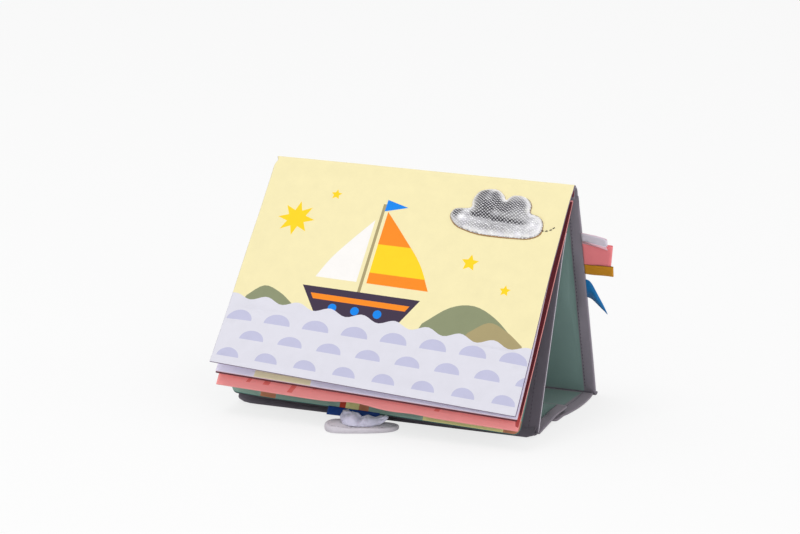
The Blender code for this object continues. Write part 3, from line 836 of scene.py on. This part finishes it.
cloud = {"x": 67.3, "down": 24.3, "tall": 1.06, "rim": 0.55, "height": 6.2, "pitch": 1.25,
    "frames": 22, "pressure": 12.0, "growth": -0.07, "stiffness": 15.0, "bend": 0.15}
cloudEdge = [
    (-34.6, 6.1), (-34.5, 1.6), (-31.5, -1.0), (-24, -1.9), (-20.4, -3.2), (-21.1, -7.6),
    (-19.9, -12.7), (-16.3, -16.9), (-9.9, -18.8), (-3.4, -18.3), (2.0, -14.5), (4.6, -10.9),
    (7.1, -13.7), (11.5, -15.5), (17.5, -15.0), (22.7, -12.2), (25.5, -8.1), (26.3, -2.9),
    (33.0, -1.0), (37.1, 2.4), (38.4, 7.3), (36.7, 12.5), (29.8, 16.2), (20.3, 17.1), (5.6, 17.3),
    (-9.2, 16.9), (-20.5, 14.8), (-28.5, 12.0)]
cloudCrease = [(-22.5, -0.8), (-18.0, 4.0), (-9.6, 4.6), (1.7, 6.6), (12.7, 7.1), (22.5, 6.1)]
# where painted shade and painted highlights darken or pale the silver cloth: across, down, half
# width, half height, amount
cloudPaintedShadeAndHighlights = [
    (-12.5, -12, 3.4, 5.5, 0.95), (-1, -11, 4.2, 6, 1.0), (6, -4, 5, 4.5, 0.85),
    (-7, -3, 8, 4, 0.6), (17, -6, 6, 5, 0.4), (-11, 3.2, 9, 1.7, 0.8), (7, 5.6, 9, 1.6, 0.8),
    (20, 6.6, 6, 1.3, 0.45), (-30, 2.5, 3.6, 4.5, 0.95), (-27, -0.5, 2, 2, 0.3),
    (-4, 12, 22, 2.6, 0.34), (-25, 7.5, 4, 2.2, -0.3), (-6, -16.5, 2, 2, -0.4),
    (31, 5, 6, 6, -0.25), (1, 1.5, 5, 1.6, -0.3)]


def roundedRing(points, pitch):
    # the closed outline through the points, at an even spacing
    ring = smoothLine(points[-1:] + points + points[:2], 12)[12:-12]
    run = np.concatenate([[0], np.cumsum(np.hypot(*np.diff(ring, axis=0).T))])
    marks = np.linspace(0, run[-1], round(run[-1] / pitch) + 1)[:-1]
    return [tuple(float(np.interp(t, run, ring[:, k])) for k in (0, 1)) for t in marks]


def puffedCut(ring, crease):
    # the cut's places and triangles, its filled heights in mm and its painted shading
    pitch, height = cloud["pitch"], cloud["height"]
    low, high = np.min(ring, axis=0), np.max(ring, axis=0)
    verts, tris, _, _ = cutSheet(ring, *(np.arange(low[k], high[k], pitch) for k in (0, 1)),
        [], 0.5)
    points = np.array(verts)
    edge = nearLines(points, [ring])
    seam = nearLines(points, [smoothLine(crease, 8)], closed=False)
    near = np.minimum(edge, seam * 1.3 + 0.5)
    unit = 0.01
    start = height * 0.3 * (1 - np.exp(-near / 4.0))
    sewn = [k for k in range(len(verts)) if edge[k] < 0.2 or seam[k] < pitch * 0.55]
    heights = simulate([(x * unit, v * unit, h * unit) for (x, v), h in zip(verts, start)],
        tris, sewn, cloud)[:, 2] / unit
    heights = heights * (1 if heights.mean() > 0 else -1)
    heights = np.maximum(heights, 0.0) * height / heights.max()
    across, down = points.T
    # painted shade: the lobes above the crease darker than the bar below, then the listed patches
    hollow = np.where(down < np.interp(across, *np.array(crease).T), 0.62, 0.36)
    for x, v, wide, tall, amount in cloudPaintedShadeAndHighlights:
        hollow += amount * np.exp(-((across - x) / wide)**2 - ((down - v) / tall)**2)
    # painted highlight: the rims stay pale, on a narrower band at the left end
    rimGap = edge + np.where(across < -22, 1.6, 0.0)
    hollow = np.clip(hollow, 0, 1) * np.clip((rimGap - 1.2) / 2.6, 0, 1)
    # painted shadow: a dark line along the foot and round the right lobe
    hollow[(edge < 0.2) & ((down > 4) | (across > 20))] = 0.85
    return verts, tris, heights, hollow


def onPage(x, down, out):
    # a place on page 1, or out mm above it
    place, head, _ = pagePlace[1]
    here = place(x, head + down, 1)
    across = place(x + 1, head + down, 1) - here
    along = place(x, head + down + 1, 1) - here
    return here + along.cross(across).normalized() * out * mm


def onCloud(x, v, out):
    return onPage(cloud["x"] + x, cloud["down"] + v, out)


def addCloud():
    edge, crease = ([(x, v * cloud["tall"]) for x, v in line]
        for line in (cloudEdge, cloudCrease))
    ring = roundedRing(edge, cloud["pitch"])
    verts, tris, heights, hollow = puffedCut(ring, crease)
    rim = rimOf(tris)
    count = len(verts)
    top = [onCloud(x, v, cloud["rim"] + h) for (x, v), h in zip(verts, heights)]
    # the backing shows as a thin brown edge, widest along the cloud's foot
    ledge = {here: 0.25 + 0.55 * ramp(verts[here][1], 4, 12) for here in rim}
    middle = np.mean(ring, axis=0)
    base = []
    for k, (x, v) in enumerate(verts):
        away = (np.array((x, v)) - middle) * ledge.get(k, 0.0)
        size = np.hypot(x - middle[0], v - middle[1]) or 1.0
        base.append(onCloud(x + away[0] / size, v + away[1] / size, 0.15))
    bm, _ = bmeshOf(top + base, twoSided(tris, rim, count),
        [0] * (2 * len(tris)) + [1] * len(rim))
    piece = bmeshObject("silverCloud", bm, [silverFinish(), dye("cloudEdge")])
    # the painted shading goes to the silver material as a vertex attribute
    shade = piece.data.attributes.new("hollow", "FLOAT", "POINT")
    shade.data.foreach_set("value", np.concatenate([hollow, hollow]))
    declare(piece, ["page_1"], "silver", ["cloud_pad", "cloud_backing"])
    under = onCloud(0, 0, 0)
    onCloud(0, 0, 1) - under
    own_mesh(piece)
    tail = [(106.0, 34.0), (109.0, 33.6), (111.8, 32.2), (113.6, 30.4)]
    stitches("cloudThread", [onPage(x, v, 0.05) for x, v in tail],
        [onPage(x, v, 1.0) - onPage(x, v, 0.0) for x, v in tail], "page_1", "darkThread",
        length=2.5, width=0.85)


def silverFinish():
    # metallic cloth: a fine open mesh, with painted shade in the middle of the lobes and painted
    # highlights at the rims, from the cloud's per-vertex shading
    material = clothFinish("silverCloth", "F4F2FA", weave=1.0, bump=0.9, mottle=0.16,
        roughness=0.45, sheen=0.0, metallic=0.4, crinkle=1.3)
    make, combine = nodeMaker(material.node_tree)
    shader = material.node_tree.nodes["Principled BSDF"]
    place = make("TexCoord", {}, "Object")
    threads = []
    for way in (1, -1):
        turned = make("Mapping", {"Scale": (way, 1, 1), "Vector": place})
        threads.append(make("TexWave", {"Scale": 222.0, "Distortion": 1.6,
                    "Detail": 1.0, "Vector": turned}, "Fac",
                bands_direction="DIAGONAL"))
    holes = make("MapRange", {"From Min": 0.05, "From Max": 0.6, "To Min": 1.0,
            "To Max": 0.26,
            "Value": combine("MULTIPLY", *threads)})
    shadeFromAttribute = make("Attribute", {}, "Fac", attribute_name="hollow")
    mix = make("Mix", {"A": shader.inputs["Base Color"].links[0].from_socket,
            "B": (0.020, 0.018, 0.026, 1),
            "Factor": combine("MULTIPLY", shadeFromAttribute, holes)}, "Result",
        data_type="RGBA")
    feed(shader, {"Base Color": mix})
    return material


# Ribbon loops at the back board's right edge, and a blue one that is folded to a point

ribbons = [
    # the coral and mustard ribbons' darker edge colours are painted shade at their rims and where
    # the loops turn; the lavender's pink edge is its own colour
    {"name": "lavender", "down": 38.2, "width": 8.6, "reach": 20.3, "droop": 3.3, "open": 0.55,
     "skew": 0.0, "lift": 1.1, "colour": "ribbonLavender", "edge": "ribbonPink"},
    {"name": "coral", "down": 51.3, "width": 17.2, "reach": 22.2, "droop": 0.2, "open": 0.75,
     "skew": -0.17, "lift": -0.9, "colour": "ribbonCoral", "edge": "ribbonCoralDark"},
    {"name": "mustard", "down": 64.1, "width": 8.0, "reach": 22.9, "droop": -0.4, "open": 0.6,
     "skew": -0.05, "lift": 0.6, "colour": "ribbonMustard", "edge": "ribbonMustardDark"},
]
ribbonRoot = {"x": 121.6, "out": 0.9}
# rows of the blue ribbon: reach, upper edge, lower edge, distance from the board
blueFin = [
    (0, 72.9, 88.0, 0.0), (1.6, 73.0, 88.2, 0.2), (3.6, 73.9, 88.8, 0.6), (5.6, 76.2, 89.9, 1.2),
    (7.4, 79.6, 91.4, 1.6), (9.2, 84.0, 93.4, 1.5), (11.2, 89.4, 96.2, 0.9),
    (13.2, 95.2, 98.8, 0.3), (14.8, 100.2, 101.2, 0.0)]


def atBack(x, down, out):
    a = math.radians(stand["backLean"])
    return Vector((x, ridge.y - down * math.sin(a) - out * math.cos(a),
            ridge.z - down * math.cos(a) + out * math.sin(a))) * mm


def alongRows(rows, share):
    k = share * (len(rows) - 1)
    a = min(int(k), len(rows) - 2)
    return rows[a] + (rows[a + 1] - rows[a]) * (k - a)


def declareSheet(flat):
    # flat sizes in mm, each raised to at least 10 mm; the result is not used; a ribbon under
    # 10 mm wide is declared in a 10 mm wide cut by its area
    cut = (max(flat[0], 10.0) * mm, max(flat[1], 10.0) * mm)


def finishRibbon(piece, name, flat):
    start = atBack(ribbonRoot["x"], 50, 1)
    declare(piece, ["back_panel", f"{name}_tag", start, start + Vector((4.5, 0, 0)) * mm],
        name, [f"ribbon_{name}"])
    declareSheet(flat)


def addRibbon(ribbon):
    name, reach, gap, width = (ribbon[key] for key in ("name", "reach", "open", "width"))
    half = 0.12
    outward = [(0, 0.2), (reach * 0.35, 0.3), (reach * 0.75, gap * 0.9), (reach - 0.7, gap)]
    at, total = leanProfile(smoothLine(outward + [(reach, 0)]
            + [(x, -out) for x, out in outward[::-1]], 6))

    def place(across, v, side):
        x, out, nx, nout = at(v)
        x, out = x - nx * half * side, out - nout * half * side
        share = max(0.0, x) / reach
        wave = 0.35 * lump(across / 6, x / 9, ribbon["down"]) * share
        sag = ribbon["droop"] * share**2 + 0.5 * math.sin(share * 5 + ribbon["down"]) * share
        return atBack(ribbonRoot["x"] + x + ribbon["skew"] * across * share,
            ribbon["down"] + across + sag,
            ribbonRoot["out"] + out + wave + ribbon["lift"] * share)

    # bands of the edge colour along the sides and across the loop's turn: painted shade on the
    # coral and mustard ribbons, the lavender's own pink edge
    def band(side, wide):
        return (ribbon["edge"], box(side * (width / 2 - wide), -2, side * (width / 2 + 1),
                total + 2))

    fold = (ribbon["edge"], box(-width, total / 2 - 1.4, width, total / 2 + 1.4))
    bands = {"lavender": [band(1, 2.2)], "coral": [],
        "mustard": [band(-1, 1.0), band(1, 1.0)]}[name]
    piece = leaf(f"{name}Ribbon", spread(-width / 2, width / 2, 1.6, 0.35),
        spread(0, total, 1.2, 0.3), place, ribbon["colour"], ribbon["edge"],
        bands if name == "lavender" else [], bands + [fold], bulge=0.05)
    finishRibbon(piece, name, (2 * reach, width))


def addBlueRibbon():
    rows = smoothLine(blueFin, 3)
    reach = 24.0

    def place(across, v, side):
        x, top, low, out = alongRows(rows, v / reach)
        bend = out + 1.6 * arch(across + 0.5) * arch(v / reach)
        return atBack(ribbonRoot["x"] + x, top + (low - top) * (across + 0.5),
            ribbonRoot["out"] + bend + 0.14 * side)

    piece = leaf("blueRibbon", spread(-0.5, 0.5, 0.1, 0.04), spread(0, reach, 1.0, 0.3), place,
        "ribbonBlue", "ribbonBlue", bulge=0.0)
    finishRibbon(piece, "blue", (28, 7))


# Hanging toy under page 4: a navy tab, a gathered satin bag and a felt pad

tab = {"from": -37.0, "to": 5.0, "tall": 5.4}
satin = {"columns": 40, "rows": 22, "frames": 14, "pressure": 5.0, "growth": -0.10,
    "stiffness": 8.0, "bend": 0.05, "give": 1.5, "thick": 0.35}
padEdge = [
    (-29.8, -95.2), (-27.4, -90.6), (-20.0, -88.2), (-8.0, -86.4), (4.0, -82.0), (13.0, -79.4),
    (19.0, -79.8), (21.4, -84.0), (20.0, -90.2), (14.0, -96.4), (4.0, -102.2), (-5.0, -106.2),
    (-13.0, -109.6), (-20.0, -111.0), (-26.0, -108.4), (-29.6, -102.0)]
# the pad's cross-section from its foot to its top: inset from the edge, height
padProfile = [
    (1.9, 0.05), (0.55, 0.25), (0.05, 1.0), (0.0, 2.0), (0.1, 3.0), (0.6, 3.65), (1.5, 3.95),
    (3.2, 4.0), (4.2, 3.8), (5.2, 4.0), (7.0, 4.0)]


def addTab():
    edgePlace, _, edgeAt = pagePlace[4]

    def place(x, v, side):
        share = v / tab["tall"]
        sewn = edgePlace(x, edgeAt, 0) / mm + Vector((0, -0.9, 0.6))
        free = Vector((x, -82.2, 4.6))
        wave = 0.45 * lump(x / 8, v / 7, 2.2) * v / tab["tall"]
        return (sewn + (free - sewn) * share + Vector((0, -wave - 0.35 * side, 0))) * mm

    piece = leaf("navyTab", spread(tab["from"], tab["to"], 1.5, 0.4),
        spread(0, tab["tall"], 0.9, 0.3), place, "navy", "navy")
    bend = [Vector((0, -81.4, 9.6)) * mm, Vector((0, -82.2, 5.6)) * mm]
    declare(piece, ["page_4", "toy"] + bend, "navy", ["toy_tab"])
    declareSheet((38, 5.6))


def padThick(x):
    return 1 + 0.26 * ramp(-x, 4, 24) - 0.12 * ramp(x, 6, 20)


def addPad():
    ring = [Vector((x, y, 0)) for x, y in roundedRing(padEdge, 1.6)]
    count = len(ring)
    centre = sum(ring, Vector()) / count
    inward = []
    for k, here in enumerate(ring):
        along = (ring[(k + 1) % count] - ring[k - 1]).normalized()
        side = Vector((-along.y, along.x, 0))
        inward.append(-side if side.dot(centre - here) < 0 else side)
    verts = []
    for inset, z in padProfile:
        for here, side in zip(ring, inward):
            rise = z * padThick(here.x) + 0.22 * lump(here.x / 5, here.y / 5, z) * (z > 1)
            verts.append((here + side * inset + Vector((0, 0, rise))) * mm)
    bm, made = bmeshOf(verts, tubeFaces(count, len(padProfile) - 1))
    for cap in (made[:count], made[-count:]):
        middle = bm.verts.new(sum((v.co for v in cap), Vector()) / count)
        for k in range(count):
            bm.faces.new((cap[k], cap[(k + 1) % count], middle))
    piece = bmeshObject("feltPad", bm, [clothFinish("feltCloth", palette["felt"], weave=1.6,
                bump=0.5, mottle=0.07, roughness=0.95)])
    declare(piece, ["toy"], "felt", ["toy_pad"])
    points = [(here + side * 2.6 + Vector((0, 0, 4.0 * padThick(here.x)))) * mm
        for here, side in zip(ring[::2], inward[::2])]
    stitches("padStitches", points, [Vector((0, 0, 1))] * len(points), "toy", "feltThread",
        length=2.0, width=0.4)


# the satin's four edges, in mm: its frilled top under the page, its foot spread over the pad
satinTop = [
    (-19.2, -82.9, 11.0), (-16.6, -84.6, 8.6), (-13.8, -87.4, 10.7), (-10.4, -88.8, 11.0),
    (-7.6, -88.6, 10.2), (-6.0, -87.6, 6.4), (-3.6, -88.0, 9.0), (-0.5, -87.6, 9.9),
    (3.4, -85.4, 8.2), (8, -83.8, 9.6), (13.0, -83.0, 9.0)]
satinFoot = [
    (-16.4, -100.4, 5.2), (-11, -102.4, 5.1), (-4, -101.6, 4.8), (3.5, -98.2, 4.6),
    (9.6, -90.6, 4.7)]
satinLeft = [(-19.2, -82.9, 11.0), (-20.6, -88, 10.8), (-20.2, -95, 9.0), (-16.4, -100.4, 5.2)]
satinRight = [(13.0, -83.0, 9.0), (14.2, -85.4, 8.8), (13.0, -88, 7.2), (9.6, -90.6, 4.7)]
# its sharp folds: share across, width, depth
satinFolds = [(0.17, 0.04, 1.2), (0.43, 0.05, 1.8), (0.62, 0.04, 1.4), (0.80, 0.04, 0.9)]


def satinPlace(edges, u, t):
    top, foot, left, right = edges
    side = alongRows(left, t) * (1 - u) + alongRows(right, t) * u
    ends = alongRows(top, u) * (1 - t) + alongRows(foot, u) * t
    corners = ((left[0] * (1 - u) + right[0] * u) * (1 - t)
        + (left[-1] * (1 - u) + right[-1] * u) * t)
    here = side + ends - corners
    puff = 2.2 * arch(t)**0.8 * arch(u)**0.4
    fold = 1.1 * abs(math.sin(5.5 * math.pi * u**1.15 + 1.6 * t)) * (1 - 0.5 * t) - 0.5
    fold += 0.25 * math.sin(15 * math.pi * u - 3 * t) * (1 - t)
    fold -= sum(deep * math.exp(-abs(u - at - 0.12 * t) / wide) * (1 - 0.6 * t)
        for at, wide, deep in satinFolds)
    return here + np.array([0, -0.55, 0.8]) * (puff + fold * arch(t)**0.6)


def addSatin():
    columns, rows = satin["columns"], satin["rows"]
    edges = [smoothLine(line, 8) for line in (satinTop, satinFoot, satinLeft, satinRight)]
    grid = np.array([satinPlace(edges, i / columns, j / rows)
            for j in range(rows + 1) for i in range(columns + 1)])
    faces = gridFaces(columns, rows)
    unit = 0.02
    shift = simulate(grid * unit, faces, gridEdge(columns, rows), satin) / unit - grid
    size = np.linalg.norm(shift, axis=1)
    shift *= np.minimum(1.0, satin["give"] / np.maximum(size, 1e-6))[:, None]
    grid = grid + shift
    grid[:, 2] = np.maximum(grid[:, 2], 4.55)
    outer = meshObject("satinTrial", grid * mm, faces)
    normals = np.array([v.normal for v in outer.data.vertices])
    bpy.data.objects.remove(outer, do_unlink=True)
    if normals[:, 2].mean() < 0:
        normals = -normals
    inner = grid - normals * satin["thick"]
    inner[:, 2] = np.maximum(inner[:, 2], 4.2)
    count, wide = len(grid), columns + 1
    rim = (list(range(columns)) + [j * wide + columns for j in range(rows)]
        + [rows * wide + i for i in range(columns, 0, -1)]
        + [j * wide for j in range(rows, 0, -1)])
    cloth = clothFinish("satinCloth", palette["satin"], weave=0.4, bump=0.15, mottle=0.06,
        roughness=0.42, sheen=0.4)
    piece = meshObject("satinBag", np.vstack([grid, inner]) * mm, twoSided(faces, rim, count),
        [cloth])
    declare(piece, ["toy"], "lavender", ["toy_satin"])
    declareSheet((33, 22))


# The pale seam along the front board's open edges

def addPiping(name, way):
    place, total = boardPlace["frontBoard"]
    corner = boards[0]["corner"]
    points = []
    for v in np.linspace(26, total - 2.4, 100):
        past = max(0.0, v - (total - corner)) / corner
        inward = corner * (1 - math.sqrt(max(0.0, 1 - past * past)))
        points.append(place(way * (bookHalf + 0.05 - inward), v, 0))
    verts = []
    for k, here in enumerate(points):
        ahead = alongPoints(points, k)
        side = ahead.cross(Vector((0, -1, 0.3))).normalized()
        across = ahead.cross(side).normalized()
        size = 0.36 * mm * (1 + 0.12 * noise.noise(here * 300))
        verts += [here + across * size * math.cos(a) + side * size * math.sin(a)
            for a in [math.pi / 3 * n for n in range(6)]]
    ends = [range(6), range(len(verts) - 6, len(verts))]
    bm, _ = bmeshOf(verts, tubeFaces(6, len(points) - 1) + ends)
    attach(bmeshObject(name, bm, [dye("piping")]), "front_panel")


print("stage: cloud")
addCloud()
print("stage: ribbons")
for ribbon in ribbons:
    addRibbon(ribbon)
addBlueRibbon()
print("stage: toy")
addTab()
addPad()
addSatin()
print("stage: piping")
addPiping("pipingRight", 1)
addPiping("pipingLeft", -1)


# Stage, light and camera

light = {"sky": 0.78, "key": 18.0, "keySize": 1.0, "keyPlace": (-0.5, -0.75, 2.6),
    "fill": 11.0, "fillSize": 1.2, "fillPlace": (1.9, -2.0, 1.2), "backdrop": 0.75}
view = {"azimuth": 23.5, "elevation": 14.6, "distance": 2.731, "lens": 163.9,
    "target": (-0.020, 0.0138, 0.095)}


def addFloor():
    bpy.ops.mesh.primitive_plane_add(size=8.0, location=(0, 0, -0.0003))
    floor = bpy.context.object
    floor.name = "floor"
    material = bpy.data.materials.new("paleFloor")
    material.use_nodes = True
    tree = material.node_tree
    make, combine = nodeMaker(tree)
    shader = feed(tree.nodes["Principled BSDF"], {
        "Base Color": (0.86, 0.86, 0.86, 1), "Roughness": 0.9, "Specular IOR Level": 0.1})
    # the camera sees the floor as part white backdrop, so only its shadow stands out
    seen = make("LightPath", {}, "Is Camera Ray")
    both = make("MixShader", {
        "Fac": combine("MULTIPLY", seen, light["backdrop"]), 1: shader.outputs[0],
        2: make("Emission", {})})
    feed(tree.nodes["Material Output"], {"Surface": both})
    floor.data.materials.append(material)


def addAimed(name, data, place, aim):
    holder = bpy.data.objects.new(name, data)
    bpy.context.scene.collection.objects.link(holder)
    holder.location = place
    holder.rotation_euler = aim.to_track_quat("-Z", "Y").to_euler()
    return holder


def addLight():
    world = bpy.context.scene.world = bpy.data.worlds.new("studio")
    world.use_nodes = True
    tree = world.node_tree
    make, combine = nodeMaker(tree)
    # the room behind the book is white to the camera and softer as a light
    path = tree.nodes.new("ShaderNodeLightPath").outputs
    seen = combine("MAXIMUM", path["Is Camera Ray"], path["Is Transmission Ray"])
    seen = combine("MAXIMUM", seen, path["Is Glossy Ray"])
    strength = make("MapRange", {"To Min": light["sky"], "To Max": 1.0, "Value": seen})
    feed(tree.nodes["Background"], {"Color": (1, 1, 1, 1), "Strength": strength})
    for name in ("key", "fill"):
        lamp = bpy.data.lights.new(name, "AREA")
        lamp.energy = light[name]
        lamp.size = light[name + "Size"]
        place = Vector(light[name + "Place"])
        addAimed(name, lamp, place, Vector((0, 0, 0.08)) - place)


def addCamera():
    camera = bpy.data.cameras.new("camera")
    camera.lens = view["lens"]
    camera.sensor_width = 36.0
    camera.clip_start, camera.clip_end = 0.01, 60
    a, e = math.radians(view["azimuth"]), math.radians(view["elevation"])
    back = Vector((math.sin(a) * math.cos(e), -math.cos(a) * math.cos(e), math.sin(e)))
    place = Vector(view["target"]) + back * view["distance"]
    bpy.context.scene.camera = addAimed("camera", camera, place, -back)


print("stage: studio")
addFloor()
addLight()
addCamera()
bpy.context.scene.view_settings.view_transform = "Standard"
